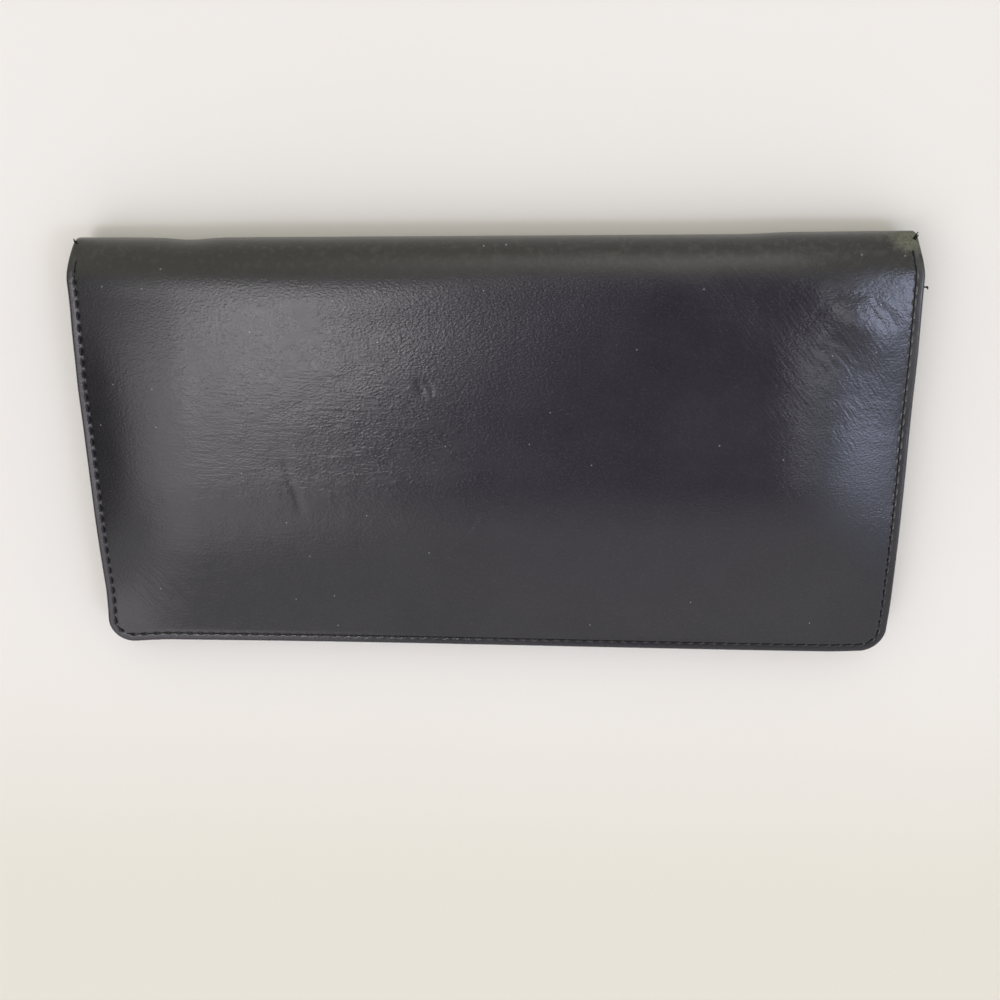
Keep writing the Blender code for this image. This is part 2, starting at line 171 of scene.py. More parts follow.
def texture(kind, place, scale, inputs=None, turn=0.0, stretch=(1.0, 1.0, 1.0), **settings):
    """A texture on a piece's rest coordinates, drawn out by stretch and then turned about Z by degrees."""
    tree = place.id_data
    if turn or stretch != (1.0, 1.0, 1.0):
        mapping = {"Vector": place, "Rotation": (0.0, 0.0, math.radians(turn)), "Scale": stretch}
        place = add_node(tree, "ShaderNodeMapping", mapping, vector_type="TEXTURE").outputs[0]
    inputs = {"Vector": place, "Scale": scale, **(inputs or {})}
    return add_node(tree, "ShaderNodeTex" + kind, inputs, **settings)


def noise(place, scale, detail, roughness=0.5, **mapping):
    """Noise of that many features to the metre, with so many finer levels."""
    inputs = {"Detail": detail, "Roughness": roughness}
    return texture("Noise", place, scale, inputs, **mapping).outputs["Fac"]


def relief(height, strength, depth):
    """The normals of a bumpy surface of that depth."""
    inputs = {"Strength": strength, "Distance": depth, "Height": height}
    return add_node(height.id_data, "ShaderNodeBump", inputs).outputs["Normal"]


FLOOR_HALF = 2.0
floor_corners = [(FLOOR_HALF * x, FLOOR_HALF * y, 0) for x, y in ((-1, -1), (1, -1), (1, 1), (-1, 1))]
floor = new_piece("floor", floor_corners, [], [(0, 1, 2, 3)])
floor_paint, tree, shader = new_material("painted shelf")
place = add_node(tree, "ShaderNodeTexCoord").outputs["Object"]
floor_colour = mix(noise(place, 6.0, 3.0), (0.75, 0.728, 0.682), (0.79, 0.772, 0.732))
in_front = ramp(parts_of(place)["Y"], -0.04, -0.14)
floor_colour = mix(in_front, floor_colour, (0.705, 0.68, 0.595))
feed(shader, {"Base Color": floor_colour, "Roughness": 0.7})
floor.data.materials.append(floor_paint)


world = bpy.data.worlds.new("room")
bpy.context.scene.world = world
world.use_nodes = True
tree = world.node_tree
towards = parts_of(add_node(tree, "ShaderNodeTexCoord").outputs["Generated"])
room_colour = mix(ramp(towards["Y"], -0.2, 0.2), (0.92, 0.90, 0.93), (0.86, 0.845, 0.78))

# Each soft area: the direction of its centre in X and Y, its reach, the share of its reach that has its full
# light, and that light.
LIT_AREAS = (
    ((0.09, 0.50), (0.30, 0.60), 0.1, (2.3, 2.25, 2.15)),
    ((0.05, -0.24), (1.20, 0.26), 0.2, (0.22, 0.18, 0.29)),
    ((-0.97, -0.26), (0.36, 0.44), 0.2, (0.02, 0.02, 0.03)),
    ((-0.37, -0.45), (0.27, 0.30), 0.45, (2.1, 2.0, 2.1)),
    ((-0.52, -0.27), (0.28, 0.17), 0.4, (2.3, 2.2, 2.3)),
    ((-0.42, -0.215), (0.25, 0.13), 0.2, (3.3, 3.2, 3.3)),
    ((-0.255, -0.198), (0.150, 0.110), 0.70, (5.2, 5.0, 5.2)),
    ((-0.168, -0.190), (0.095, 0.052), 0.6, (9.5, 9.2, 9.5)),
    ((0.60, -0.34), (0.24, 0.34), 0.4, (0.95, 1.0, 1.2)),
    ((0.62, -0.24), (0.15, 0.09), 0.3, (5.5, 6.1, 8.2)),
    ((0.34, -0.220), (0.14, 0.075), 0.3, (4.4, 4.5, 4.8)),
    ((0.59, -0.150), (0.13, 0.060), 0.3, (10.0, 11.0, 14.5)),
)
for centre, reach, full, light in LIT_AREAS:
    across = calc("DIVIDE", calc("SUBTRACT", towards["X"], centre[0]), reach[0])
    along = calc("DIVIDE", calc("SUBTRACT", towards["Y"], centre[1]), reach[1])
    far = calc("SQRT", plus(times(across, across), times(along, along)))
    above_floor = ramp(towards["Z"], 0.0, 0.1)
    room_colour = mix(times(ramp(far, 1.0, full), above_floor), room_colour, light)
seen = add_node(tree, "ShaderNodeLightPath").outputs["Is Camera Ray"]
room_colour = mix(seen, room_colour, (0.84, 0.80, 0.74))
feed(tree.nodes["Background"], {"Color": room_colour})


# Outer leather
#
# One piece of smooth black calf leather, 1 mm thick, makes the back cover, the fold and the front cover. Its
# edges are turned under and sewn down. It is cut here at the middle of the fold, into one half for each
# cover.
# Years in a pocket have dented, creased and polished it.

SIDE = frame_high.x  # half of the length
OUTER_EDGE = frame_low.y
THICKNESS = frame_high.z
CORNER_RADIUS = 0.006
LEATHER = 0.0010
HEM = 0.0016  # the turned edge, two layers pared thin
HEM_WIDTH = 0.0052
EDGE_RADIUS = 0.0007
RIM = 0.003  # the sewn margin
RIM_LIFT = 0.0008  # how far the back cover's margins curl up
LIFT_WIDTH = 0.009
CROWN = 0.005  # how far the front cover's middle stands above its margins
CROWN_LEFT_SIDE = 0.025  # how far in from each side the cover goes on rising
CROWN_RIGHT_SIDE = 0.031
CROWN_INSET = 0.0024  # how far in from a side it starts
CROWN_AT_FOLD = 0.62  # the share of it that is left at the fold, which no seam holds together
CROWN_EDGE = 0.042
SINK = 0.0018  # how far the front half sinks towards its outer edge
SINK_START = -0.015
FOLD_RADIUS = THICKNESS / 2
FOLD_START = 0.0372  # where the leather starts to roll over
FOLD_REACH = 0.0126
FOLD_POWER = 4.0  # 2 is a half ellipse, and more is squarer
END_PULL = 0.0016  # how far the ends of the fold are worn back
STITCH_INSET = 0.002
PITCH = 0.00275
STITCH_COUNT = 135
CORNER_X = SIDE - CORNER_RADIUS
CORNER_Y = OUTER_EDGE + CORNER_RADIUS


def smooth(value, start, end):
    """0 before start and 1 after end, easing in and out between them."""
    share = np.clip((value - start) / (end - start), 0.0, 1.0)
    return share * share * (3 - 2 * share)


def bell(distance, width):
    """1 at no distance, falling to nothing over a few widths."""
    return np.exp(-((distance / width) ** 2))


def rounded(x, y):
    """Carries a square-cornered plan to the plan with round outer corners."""
    across = np.abs(x) - CORNER_X
    along = CORNER_Y - y
    inside = (across <= 0) | (along <= 0)
    ring = np.maximum(across, along)
    safe = np.where(ring == 0, 1.0, ring)
    side = np.pi / 4 * along / safe
    foot = np.pi / 2 - np.pi / 4 * across / safe
    angle = np.where(across >= along, side, foot)
    new_x = np.sign(x) * (CORNER_X + ring * np.cos(angle))
    new_y = CORNER_Y - ring * np.sin(angle)
    return np.where(inside, x, new_x), np.where(inside, y, new_y)


def from_edge(x, y):
    """How far a point of the plan is inside the three sewn sides."""
    across = np.abs(x) - CORNER_X
    along = CORNER_Y - y
    corner = CORNER_RADIUS - np.hypot(across, along)
    straight = np.minimum(SIDE - np.abs(x), y - OUTER_EDGE)
    return np.where((across > 0) & (along > 0), corner, straight)


SEAM_RADIUS = CORNER_RADIUS - STITCH_INSET
SEAM_X = CORNER_X + SEAM_RADIUS
SEAM_CORNER = SEAM_RADIUS * math.pi / 2
FOLD_RUN = CORNER_X + SEAM_CORNER + FOLD_START - CORNER_Y  # along the seam, from its middle to the fold
SEAM_ON_FOLD = STITCH_COUNT / 2 * PITCH - FOLD_RUN  # how far it goes on round the fold


def seam_run(x, y):
    """How far along the stitching line a point of the plan lies, from the middle of the outer edge."""
    across = np.abs(x) - CORNER_X
    along = CORNER_Y - y
    turned = SEAM_RADIUS * np.arctan2(np.maximum(across, 0.0), np.maximum(along, 1e-9))
    corner = CORNER_X + turned
    side = CORNER_X + SEAM_CORNER + (y - CORNER_Y)
    on_side = (along <= 0) & (SIDE - np.abs(x) < y - OUTER_EDGE)
    foot = np.minimum(np.abs(x), CORNER_X)
    run = np.where(on_side, side, np.where((across > 0) & (along > 0), corner, foot))
    return run * np.where(x < 0, -1.0, 1.0)


def rim_lift(x, y):
    """How far the back cover curls up off the table at its margins."""
    return RIM_LIFT * (1 - smooth(from_edge(x, y), RIM, RIM + LIFT_WIDTH))


def crown_share(x, y):
    """0 on the front cover's sewn margins and 1 on its middle, rising at once from the seam."""
    width = np.where(x < 0, CROWN_LEFT_SIDE, CROWN_RIGHT_SIDE)
    side = np.clip((SIDE - np.abs(x) - CROWN_INSET) / width, 0.0, 1.0)
    edge = np.clip((y - OUTER_EDGE - RIM) / CROWN_EDGE, 0.0, 1.0)
    side = 0.25 * smooth(side, 0, 1) + 0.75 * (1 - (1 - side) ** 2.6)
    edge = 0.35 * smooth(edge, 0, 1) + 0.65 * (1 - (1 - edge) ** 2.2)
    return side * edge


def sink(y):
    """How far the front half sinks towards the outer edge, where fewer card slots lie under it."""
    return SINK * smooth(SINK_START - y, 0.0, SINK_START - OUTER_EDGE)


def crown(y):
    """How far the front cover's side margins lie below its middle."""
    return CROWN * (1 - (1 - CROWN_AT_FOLD) * smooth(y, 0.005, 0.040))


def dent(x, y, centre, size, turn=0.0):
    """A soft round or long dent, 1 at its centre."""
    dx, dy = x - centre[0], y - centre[1]
    u = dx * math.cos(turn) + dy * math.sin(turn)
    v = dy * math.cos(turn) - dx * math.sin(turn)
    return np.exp(-((u / size[0]) ** 2) - (v / size[1]) ** 2)


def crease(x, y, start, end, width):
    """A crease from start to end that fades at both ends, 1 along its line."""
    run = np.array(end) - np.array(start)
    length = float(np.hypot(*run))
    t = ((x - start[0]) * run[0] + (y - start[1]) * run[1]) / length**2
    off = ((y - start[1]) * run[0] - (x - start[0]) * run[1]) / length
    wander = off + 0.25 * width * np.sin(7 * t)
    ends = smooth(t, 0.0, 0.25) * (1 - smooth(t, 0.75, 1.0))
    return bell(wander, width) * ends


def droop(x, y):
    """How far the front half hangs down towards both ends of the fold."""
    left = 0.0014 * dent(x, y, (-0.096, 0.048), (0.023, 0.022))
    return left + 0.0008 * dent(x, y, (0.080, 0.050), (0.022, 0.010))


def front_level(x, y):
    """The outer face of the front cover without its dents."""
    return THICKNESS - crown(y) * (1 - crown_share(x, y)) - sink(y) - droop(x, y)


# Height, centre, size and turn of each dent or swelling of the front cover.
DENTS = (
    (-0.00045, (0.026, 0.006), (0.030, 0.022), 0.2),
    (0.00030, (-0.045, 0.016), (0.032, 0.020), 0.0),
    (0.00016, (-0.030, 0.037), (0.026, 0.0050), 0.05),
    (-0.00012, (0.012, 0.0385), (0.016, 0.0045), -0.1),
    (0.00014, (0.043, 0.0395), (0.010, 0.0045), -0.6),
    (-0.00020, (0.060, 0.0350), (0.013, 0.0060), -0.6),
    (0.00034, (0.0800, 0.0325), (0.0130, 0.0045), -0.72),
)
# Depth, start, end and width of each crease: four single ones, eight side by side, and three at the corner.
CREASES = [
    (0.00006, (-0.0470, 0.0019), (-0.0435, -0.0155), 0.0010),
    (0.00005, (-0.0155, 0.0195), (-0.0140, 0.0150), 0.0007),
    (0.00005, (-0.0135, 0.0195), (-0.0120, 0.0150), 0.0006),
    (0.00005, (-0.0065, -0.0190), (-0.0020, -0.0135), 0.0006),
]
for k in range(8):
    off = 0.0012 * (k - 3)
    start = (0.0715 + 0.8 * off + 0.0010 * (k % 3), 0.0275 + 0.6 * off - 0.0013 * (k % 3))
    end = (0.0770 + 0.8 * off + 0.0008 * (k % 2), 0.0195 + 0.6 * off)
    CREASES.append((0.00005, start, end, 0.00055))
for k in range(3):
    start, end = (0.0832 + 0.0004 * k, 0.0372 - 0.0011 * k), (0.0902, 0.0310 - 0.0013 * k)
    CREASES.append((0.00008, start, end, 0.0006))


def front_dents(x, y):
    """What years of use have pressed into the front cover, in metres."""
    rise = 0.0
    for height, centre, size, turn in DENTS:
        rise += height * dent(x, y, centre, size, turn)
    for depth, start, end, width in CREASES:
        rise -= depth * crease(x, y, start, end, width)
    return rise


def pulled_in(off, run):
    """How far the thread pulls the leather in beside the seam: a shallow groove, and a pit at each hole."""
    hole = run / PITCH - 0.5
    from_hole = np.abs(hole - np.round(hole)) * PITCH
    return 0.00005 * bell(off, 0.00034) + 0.00032 * bell(off, 0.00026) * bell(from_hole, 0.00038)


FULL_ROUND = 0.94  # of its radius, so that the two faces of an edge don't meet


def edge_fall(inside, radius):
    """How far a rounded edge of that radius falls back, so far inside the edge."""
    t = np.clip(1 - inside / radius, 0.0, 1.0)
    return radius * (1 - np.sqrt(np.clip(1 - t * t, 0.0, 1.0))) * FULL_ROUND


def fold_reach(x):
    """How far the fold stands out. It has been squashed a little over most of its length, and dented once."""
    return FOLD_REACH - 0.0004 * (1 - smooth(x, 0.055, 0.068)) - 0.0005 * bell(x + 0.0668, 0.0050)


def shifted(x, y):
    """The worn plan: sides bowed out, the left one in beside the fold, and its outer corners uneven."""
    left = 0.0004 * smooth(y, 0.025, 0.037)
    left = left - 0.0005 * smooth(y, -0.052, -0.044) * (1 - smooth(y, 0.012, 0.028))
    bow = 0.0003 * smooth(y, -0.045, 0.0) * (1 - smooth(y, 0.020, FOLD_START))
    longer = 0.0010 * smooth(x, -0.060, SIDE) * smooth(-y, 0.0, 0.042)
    corner = smooth(np.abs(x), 0.080, SIDE) * smooth(-y, 0.035, -OUTER_EDGE)
    corner = corner * np.where(x < 0, 0.0008, -0.0005)
    new_x = x + left * smooth(-x, 0.070, SIDE) + bow * smooth(x, 0.080, SIDE)
    return new_x + np.sign(x) * corner, y - longer - corner


LONGEST_RAY = 0.05
HALVINGS = 40


def fold_points(x, ray, inwards):
    """Points of the fold where rays from its centre line meet it, so far inside the leather's outer face."""
    low = rim_lift(x, FOLD_START)
    high = front_level(x, FOLD_START)
    half = (high - low) / 2
    reach = fold_reach(x)
    drop = FOLD_RADIUS - (high + low) / 2
    along, up = np.maximum(np.cos(ray), 0.0), np.sin(ray)
    near = np.zeros(np.broadcast(x, ray).shape)
    far = near + LONGEST_RAY
    for _ in range(HALVINGS):
        middle = (near + far) / 2
        outside = (middle * along / reach) ** FOLD_POWER + ((middle * up + drop) / half) ** 2 > 1
        near, far = np.where(outside, near, middle), np.where(outside, middle, far)
    y, z = far * along, far * up + drop
    normal_y = FOLD_POWER / 2 * (y / reach) ** (FOLD_POWER - 1) / reach
    normal_z = z / half**2
    size = np.hypot(normal_y, normal_z)
    normal_y, normal_z = normal_y / size, normal_z / size
    pull = END_PULL * smooth(y, 0.25 * reach, reach) * (1 - smooth(SIDE - np.abs(x), 0.0, 0.012))
    y = FOLD_START + y - inwards * normal_y
    z = (high + low) / 2 + z - inwards * normal_z
    new_x, new_y = shifted(x, y)
    return np.stack([new_x - np.sign(x) * pull, new_y, z], -1)


NEAR_DOUBLE = 0.00002


def lines(*parts):
    """Sorted plan lines without near doubles."""
    values = np.sort(np.concatenate([np.atleast_1d(part) for part in parts]))
    return values[np.concatenate([[True], np.diff(values) > NEAR_DOUBLE])]


def mm(*values):
    """An array of lengths given in millimetres."""
    return np.array(values) / 1000


EDGE_INSETS = mm(0.0, 0.03, 0.1, 0.22, 0.38, 0.55, 0.8, 1.1, 1.4, 1.65, 1.85, 2.0)
SEAM_INSETS = mm(2.15, 2.35, 2.6, 2.9, 3.25, 3.7, 4.2, 4.8, 5.4)
INSETS = np.concatenate([EDGE_INSETS, SEAM_INSETS, [CORNER_RADIUS]])


def cover_lines(per_stitch):
    """The plan lines of a cover: fine at its edges and seam, and some to each stitch elsewhere."""
    step = PITCH / per_stitch
    inner = (np.arange(int(CORNER_X / step)) + (0.5 if per_stitch % 2 else 0.0)) * step
    inner = inner[(inner > 0) & (inner < CORNER_X - step / 2)]
    near = SIDE - INSETS
    xs = lines(-near, -inner, [0.0], inner, near)
    down = FOLD_START + SEAM_ON_FOLD - np.arange(400) * step
    down = down[(down > CORNER_Y + step / 2) & (down < FOLD_START - step / 3)]
    ys = lines(OUTER_EDGE + INSETS, down, [FOLD_START])
    return xs, ys


def run_along(line):
    """How far along a line of points each of them lies."""
    return np.concatenate([[0.0], np.cumsum(np.linalg.norm(np.diff(line, axis=0), axis=1))])


UNSEWN_STEP = 0.0005


def fold_rays(is_front, step):
    """Rays round half of the fold, in even steps as far as the seam goes and longer ones after it."""
    dense = np.linspace(math.pi / 2 if is_front else -math.pi / 2, 0.0, 600)
    run = run_along(fold_points(np.full(600, SEAM_X), dense, 0.0))
    sewn = SEAM_ON_FOLD - np.arange(int(SEAM_ON_FOLD / step)) * step
    after = np.linspace(SEAM_ON_FOLD, run[-1], 2 + int((run[-1] - SEAM_ON_FOLD) / UNSEWN_STEP))[1:]
    marks = np.concatenate([sewn[::-1], after])
    return np.interp(marks, run, dense), marks


def hem_depth(x, y):
    """The thickness of a cover: its hem's at the sewn sides, and one layer's elsewhere."""
    return LEATHER + (HEM - LEATHER) * (1 - smooth(from_edge(x, y), HEM_WIDTH - 0.0006, HEM_WIDTH))


NO_SEAM = 9.0  # metres from the stitching, where nothing is sewn


def fold_faces(xs, rays, marks):
    """The outer and inner face of the leather round half of the fold, with its ends rounded and its seam."""
    x, ray = np.meshgrid(xs, rays, indexing="ij")
    fall = edge_fall(from_edge(x, FOLD_START), EDGE_RADIUS)
    off = SIDE - np.abs(x) - STITCH_INSET
    run = FOLD_RUN + marks + 0 * x
    sewn = pulled_in(off, run) * (1 - smooth(marks, SEAM_ON_FOLD + 0.0008, SEAM_ON_FOLD + 0.0018))
    depth = hem_depth(x, FOLD_START)
    off = np.where(marks > SEAM_ON_FOLD + PITCH / 2, NO_SEAM, off)
    outer = fold_points(x, ray, fall + sewn)
    dented = smooth(outer[..., 2], FOLD_RADIUS, FOLD_RADIUS + 0.004)
    dented = dented * smooth(SIDE - np.abs(x), 0.003, 0.008)
    outer[..., 2] += front_dents(x, outer[..., 1]) * dented
    return outer, fold_points(x, ray, depth - fall), run, off


def skin(name, outer, inner, skip=3):
    """A closed sheet from two grids of points. The outer face keeps every line, the inner one in skip."""
    nx, ny = outer.shape[:2]
    keep_i = sorted(set(range(0, nx, skip)) | {nx - 1})
    keep_j = sorted(set(range(0, ny, skip)) | {ny - 1})
    used = np.zeros((nx, ny), bool)
    used[np.ix_(keep_i, keep_j)] = True
    used[[0, -1], :] = True
    used[:, [0, -1]] = True
    under = np.full((nx, ny), -1)
    under[used] = nx * ny + np.arange(used.sum())
    over = np.arange(nx * ny).reshape(nx, ny)
    quads = np.stack([over[:-1, :-1], over[1:, :-1], over[1:, 1:], over[:-1, 1:]], -1)
    faces = quads.reshape(-1, 4).tolist()

    def ring(a, b, c, d):
        """The grid's points round its lines a to b and c to d."""
        points = [(i, c) for i in range(a, b)] + [(b, j) for j in range(c, d)]
        return points + [(i, d) for i in range(b, a, -1)] + [(a, j) for j in range(d, c, -1)]

    for a, b in zip(keep_i[:-1], keep_i[1:]):
        for c, d in zip(keep_j[:-1], keep_j[1:]):
            faces.append([int(under[point]) for point in reversed(ring(a, b, c, d)) if used[point]])
    rim = ring(0, nx - 1, 0, ny - 1)
    for here, there in zip(rim, rim[1:] + rim[:1]):
        faces.append([int(over[here]), int(under[here]), int(under[there]), int(over[there])])
    points = np.concatenate([outer.reshape(-1, 3), inner[used]])
    return new_piece(name, points.tolist(), [], faces)


SHARP = 50.0  # degrees from which an edge is shown sharp


def finish_mesh(piece, material):
    """Smooth shading, the material, and the rest place of each point, which the material reads."""
    mesh = piece.data
    mesh.shade_smooth()
    mesh.set_sharp_from_angle(angle=math.radians(SHARP))
    place = np.zeros(len(mesh.vertices) * 3, np.float32)
    mesh.vertices.foreach_get("co", place)
    mesh.attributes.new("place", "FLOAT_VECTOR", "POINT").data.foreach_set("vector", place)
    mesh.materials.clear()
    mesh.materials.append(material)


INNER_FACE = 9.0  # what the seam map says of the inner face, in stitches from the stitching


def add_seam_map(piece, run, off):
    """A UV map along the seam: u counts stitches and v is the distance from the stitching, in stitches."""
    mesh = piece.data
    u = np.full(len(mesh.vertices), 0.0)
    v = np.full(len(mesh.vertices), INNER_FACE)
    u[: run.size] = run.ravel() / PITCH
    v[: off.size] = off.ravel() / PITCH
    corners = np.zeros(len(mesh.loops), int)
    mesh.loops.foreach_get("vertex_index", corners)
    layer = mesh.uv_layers.new(name="seam")
    layer.data.foreach_set("uv", np.stack([u, v], -1)[corners].astype(np.float32).ravel())


SCUFF = (-0.0815, -0.0355, 0.012)  # at the lower left
DYED = (0.030, 0.010, 0.014)  # where the dye has kept its violet cast
WORN_CORNER = (0.0916, 0.0488, 0.0102)
WORN_SIZE = (0.0048, 0.0036, 0.0040)


def leather_material(name, tint, roughness, front=False):
    """Smooth dyed leather: grain, fine creases, cloudy dye, polish and dust, a painted reflection on the
    fold's roll, and painted shade in the pits at the stitch holes.
    """
    material, tree, shader = new_material(name)
    place = add_node(tree, "ShaderNodeAttribute", attribute_name="place").outputs["Vector"]
    x, y, z = parts_of(place)
    clouds = noise(place, 38.0, 4.0, 0.55)
    blotch = noise(place, 190.0, 3.0)
    rumple = noise(place, 640.0, 2.0)
    grit = noise(place, 2300.0, 2.0, stretch=(1.4, 1.0, 1.0))
    pores = texture("Voronoi", place, 1900.0, stretch=(1.25, 0.83, 1.0)).outputs["Distance"]
    height = plus(times(pores, 0.45), grit, times(rumple, 0.22))
    if front:
        patchy = ramp(blotch, 0.30, 0.62)
        hair = noise(place, 1500.0, 2.0, turn=-3, stretch=(7.0, 1.0, 1.0))
        hair_share = times(ramp(x, 0.0, -0.040), ramp(x, -0.090, -0.074), ramp(y, 0.038, 0.020), patchy)
        slant = noise(place, 1500.0, 2.0, turn=-52, stretch=(9.0, 1.0, 1.0))
        slant_share = times(ramp(x, 0.030, 0.060), ramp(y, -0.006, 0.010), patchy)
        scuff = ramp(how_far(place, SCUFF), 0.011, 0.003)
        slant_share = plus(slant_share, times(scuff, 0.6))
        height = plus(height, times(hair, hair_share, 1.5), times(slant, slant_share, 2.0))
    stitch, off, _ = parts_of(add_node(tree, "ShaderNodeUVMap", uv_map="seam").outputs["UV"])
    along = times(calc("SUBTRACT", calc("FRACT", stitch), 0.5), 0.7)
    hole = ramp(calc("SQRT", plus(times(along, along), times(off, off))), 0.14, 0.06)

    colour = mix(ramp(clouds, 0.35, 0.65), tuple(0.74 * c for c in tint), tint)
    if front:
        dyed = ramp(how_far(place, DYED), 0.075, 0.020)
        colour = mix(times(dyed, 0.8), colour, (0.0142, 0.0120, 0.0172))
    bloom = ramp(blotch, 0.45, 0.75)
    colour = mix(times(bloom, 0.35), colour, (0.020, 0.018, 0.023))
    rubbed = ramp(grit, 0.52, 0.72)
    colour = mix(times(rubbed, 0.40), colour, (0.034, 0.031, 0.036))
    roll = ramp(y, 0.036, 0.046)
    # Painted reflection: the fold's roll gets an olive cast, stronger to the left, standing in for the pale
    # room it reflects.
    olive_reflection = times(roll, ramp(x, 0.07, -0.05, 0.35, 0.75))
    colour = mix(olive_reflection, colour, (0.017, 0.0175, 0.0125))
    pebbles = times(ramp(rumple, 0.48, 0.68), ramp(y, 0.040, 0.049))
    colour = mix(times(pebbles, 0.55), colour, (0.042, 0.040, 0.033))
    cloudy = calc("SUBTRACT", clouds, 0.5)
    rough = plus(roughness, times(cloudy, 0.16), times(roll, 0.08), times(hole, 0.4))
    if front:
        ragged = calc("SUBTRACT", noise(place, 900.0, 4.0, 0.7), 0.5)
        worn = ramp(plus(how_far(place, WORN_CORNER, WORN_SIZE), times(ragged, 1.5)), 1.20, 0.40)
        outside = calc("GREATER_THAN", calc("ABSOLUTE", calc("SUBTRACT", off, INNER_FACE)), 0.5)
        worn = times(worn, outside)
        suede = mix(ramp(grit, 0.35, 0.65), (0.078, 0.082, 0.058), (0.125, 0.128, 0.095))
        colour = mix(worn, colour, suede)
        rough = plus(rough, times(worn, 0.5))
        scuff = times(scuff, ramp(slant, 0.38, 0.62))
        colour = mix(times(scuff, 0.45), colour, (0.036, 0.034, 0.035))
        side = times(ramp(x, 0.0926, 0.0934), ramp(y, 0.046, 0.042), ramp(z, 0.0105, 0.0120))
        side = times(side, ramp(blotch, 0.20, 0.70, 0.6, 1.0))
        colour = mix(side, colour, (0.042, 0.043, 0.042))
    dust = texture("Voronoi", place, 210.0, voronoi_dimensions="2D").outputs
    chosen = add_node(tree, "ShaderNodeSeparateColor", {0: dust["Color"]}).outputs[0]
    speck = times(calc("GREATER_THAN", chosen, 0.95), ramp(dust["Distance"], 0.045, 0.018))
    colour = mix(times(speck, 0.45), colour, (0.45, 0.45, 0.42))
    # Painted shade: each stitch hole is painted nearly black.
    colour = mix(times(hole, 0.9), colour, (0.002, 0.002, 0.002))
    rough = calc("MINIMUM", rough, 1.0)
    feed(shader, {"Base Color": colour, "Roughness": rough, "Normal": relief(height, 0.9, 0.00003)})
    return material


cover_leather = leather_material("black cover leather", (0.0152, 0.0146, 0.0170), 0.185, front=True)


def plan_grid(xs, ys):
    """The plan of a sheet: a grid on those lines, with its outer corners rounded."""
    return rounded(*np.meshgrid(xs, ys, indexing="ij"))


def face(x, y, z):
    """The points of a face: the worn plan at that height."""
    return np.stack([*shifted(x, y), z], -1)


def outer_half(name, per_stitch, is_front):
    """One half of the outer leather: a cover with its turned edges, and the fold as far as its middle."""
    xs, ys = cover_lines(per_stitch)
    xs = xs if is_front else xs[::-1]
    x, y = plan_grid(xs, ys)
    inset = from_edge(x, y)
    off = inset - STITCH_INSET
    run = seam_run(x, y)
    fall = edge_fall(inset, EDGE_RADIUS)
    if is_front:
        over = front_level(x, y) + front_dents(x, y) * smooth(inset, 0.003, 0.008)
        over = over - pulled_in(off, run) - fall
        under = front_level(x, y) - hem_depth(x, y) + fall
    else:
        over = rim_lift(x, y) + pulled_in(off, run) + fall
        under = rim_lift(x, y) + hem_depth(x, y) - fall
    rays, marks = fold_rays(is_front, PITCH / per_stitch)
    outer_fold, inner_fold, fold_run, fold_off = fold_faces(xs, rays, marks)
    outer = np.concatenate([face(x, y, over), outer_fold], 1)
    inner = np.concatenate([face(x, y, under), inner_fold], 1)
    piece = skin(name, outer, inner)
    add_seam_map(piece, np.concatenate([run, fold_run], 1), np.concatenate([off, fold_off], 1))
    finish_mesh(piece, cover_leather)
    return piece


def bend_with_front(piece):
    """Bakes the placement of a piece of the front half into its mesh."""
    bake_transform(piece)


def bend_with_back(piece):
    """Bakes the placement of a piece of the back half into its mesh."""
    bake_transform(piece)


front_leather = outer_half("front_leather", 5, True)
bend_with_front(front_leather)
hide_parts("front_cover", "fold_leather")
back_leather = outer_half("back_leather", 4, False)
bend_with_back(back_leather)
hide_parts("back_cover", "fold_leather")


# Seams
#
# Black waxed thread, sewn through all the layers of each half along the three open sides. Each stitch lies
# flush in the groove that it has pulled into the leather, and dives into a hole at both ends. Worn ends of
# thread stick out at the two ends of the fold and at the right side.

thread_finish, tree, shader = new_material("black waxed thread")
place = add_node(tree, "ShaderNodeTexCoord").outputs["Object"]
fibres = noise(place, 3500.0, 2.0)
thread_colour = mix(fibres, (0.006, 0.006, 0.0065), (0.014, 0.014, 0.014))
feed(shader, {"Base Color": thread_colour, "Roughness": 0.8, "Normal": relief(fibres, 0.6, 0.00005)})
shader.inputs["Specular IOR Level"].default_value = 0.15


